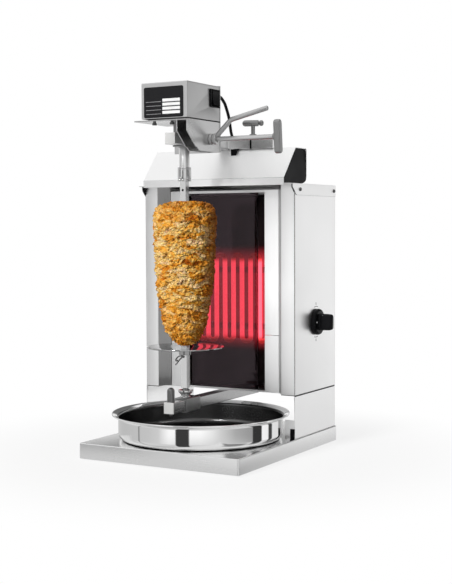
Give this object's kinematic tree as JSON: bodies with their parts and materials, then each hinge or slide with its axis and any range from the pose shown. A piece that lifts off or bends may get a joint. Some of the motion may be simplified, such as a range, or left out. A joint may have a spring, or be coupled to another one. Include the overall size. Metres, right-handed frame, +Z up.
{
  "type": "electric skewer grill",
  "caption": "Tabletop electric vertical skewer grill: a motor turns a square spit with meat before a glass heater, over a round drip pan, on a flat base.",
  "frame": {"origin": "on the worktop plane, under the middle of the base tray", "axes": "+Z up, -Y towards the spit and the user, +X towards the side with the control knob"},
  "size_m": [0.338, 0.3912, 0.6299],
  "materials": {
    "panel_steel": "satin sheet steel",
    "tube_steel": "satin tube",
    "cover_steel": "satin to polished sheet",
    "polished_steel": "polished",
    "grey_metal": "satin grey",
    "small_steel": "plain",
    "black_plastic": "fine grain",
    "black_rubber": "matt",
    "white_plastic": "smooth",
    "dark_label": "blank dark plate with pale fields",
    "dark_glass": "tinted glass ceramic",
    "glowing_element": "glowing red",
    "ceramic": "unglazed",
    "insulation": "pressed fibre board",
    "reflector": "heat darkened",
    "wire": "silicone sleeve",
    "motor_paint": "satin",
    "meat": "roasted, glossy with fat"
  },
  "bodies": {
    "housing": {"base_tray": "panel_steel", "rubber_feet": "black_rubber", "lower_panel_left": "panel_steel", "lower_panel_right": "panel_steel", "bumper_pads": "black_plastic", "side_panel_left": "panel_steel", "side_panel_right": "panel_steel", "side_trim_left": "panel_steel", "side_trim_right": "panel_steel", "panel_screws": "small_steel", "back_panel": "panel_steel", "heater_floor": "panel_steel", "top_plate": "panel_steel", "hood": "panel_steel", "hood_cap_left": "black_plastic", "hood_cap_right": "black_plastic", "glass_frame": "panel_steel", "ceramic_glass": "dark_glass", "glass_clips": "small_steel", "heating_element": "glowing_element", "element_holders": "ceramic", "reflector_box": "reflector", "insulation_board": "insulation", "terminal_block": "ceramic", "energy_regulator": "black_plastic", "internal_wiring": "wire", "cable_gland": "black_plastic", "lower_arm": "tube_steel", "upper_arm": "tube_steel", "arm_end_caps": "white_plastic", "support_tube": "tube_steel", "clamp_pad": "black_plastic", "bar_wedge": "black_plastic", "lead_grommet": "black_plastic", "motor_lead": "black_rubber"},
    "stop_screw": {"stop_screw": "grey_metal"},
    "cross_screw": {"cross_screw": "grey_metal"},
    "drive_head": {"drive_bracket": "cover_steel", "arm_slider": "tube_steel", "motor_cover": "cover_steel", "data_plate": "dark_label", "gearbox": "grey_metal", "motor": "motor_paint", "bracket_bolts": "small_steel", "switch_housing": "black_plastic"},
    "rocker": {"rocker_switch": "black_plastic"},
    "clamp": {"clamp_spindle": "polished_steel", "t_grip": "grey_metal"},
    "lock_lever": {"lock_lever": "grey_metal"},
    "spit": {"drive_shaft": "polished_steel", "spit_rod": "polished_steel", "support_disc": "polished_steel", "spit_clip": "polished_steel", "meat_cone": "meat"},
    "sleeve": {"coupling_sleeve": "polished_steel"},
    "lower_slide": {"lower_slider": "tube_steel", "bearing_cup": "polished_steel"},
    "knob": {"knob_shaft": "small_steel", "control_knob": "black_plastic"},
    "pan": {"drip_pan": "polished_steel"}
  },
  "joints": [
    {"name": "drive_travel", "type": "slide", "parent": "housing", "child": "drive_head", "axis": [0, 1, 0], "range_m": [-0.02, 0.028], "deforming": ["motor_lead"]},
    {"name": "lower_travel", "type": "slide", "parent": "housing", "child": "lower_slide", "axis": [0, 1, 0], "range_m": [-0.02, 0.028]},
    {"name": "spit_turn", "type": "hinge", "parent": "drive_head", "child": "spit", "pos_m": [0, -0.091, 0.3], "axis": [0, 0, 1], "continuous": true},
    {"name": "sleeve_lift", "type": "slide", "parent": "spit", "child": "sleeve", "axis": [0, 0, 1], "range_m": [0, 0.018]},
    {"name": "clamp_turn", "type": "hinge", "parent": "drive_head", "child": "clamp", "pos_m": [0.08, -0.079, 0.5388], "axis": [1, 0, 0], "range_deg": [-180, 180]},
    {"name": "lever_turn", "type": "hinge", "parent": "drive_head", "child": "lock_lever", "pos_m": [0.051, -0.079, 0.5388], "axis": [1, 0, 0], "range_deg": [-60, 60]},
    {"name": "rocker_tilt", "type": "hinge", "parent": "drive_head", "child": "rocker", "pos_m": [0.0432, -0.0657, 0.6075], "axis": [0, 1, 0], "range_deg": [0, 12]},
    {"name": "cross_screw_turn", "type": "hinge", "parent": "housing", "child": "cross_screw", "pos_m": [0.055, 0.05, 0.56], "axis": [0, 0, 1], "range_deg": [-180, 180]},
    {"name": "stop_screw_turn", "type": "hinge", "parent": "housing", "child": "stop_screw", "pos_m": [0, -0.138, 0.11], "axis": [0, 0, 1], "range_deg": [-180, 180]},
    {"name": "knob_turn", "type": "hinge", "parent": "housing", "child": "knob", "pos_m": [0.16, 0.10315, 0.2255], "axis": [1, 0, 0], "range_deg": [0, 270]},
    {"name": "pan_slide", "type": "slide", "parent": "housing", "child": "pan", "axis": [0, -1, 0], "range_m": [0, 0.12]}
  ],
  "couplings": [
    {"joint": "lower_travel", "follows": "drive_travel", "ratio": 1}
  ]
}
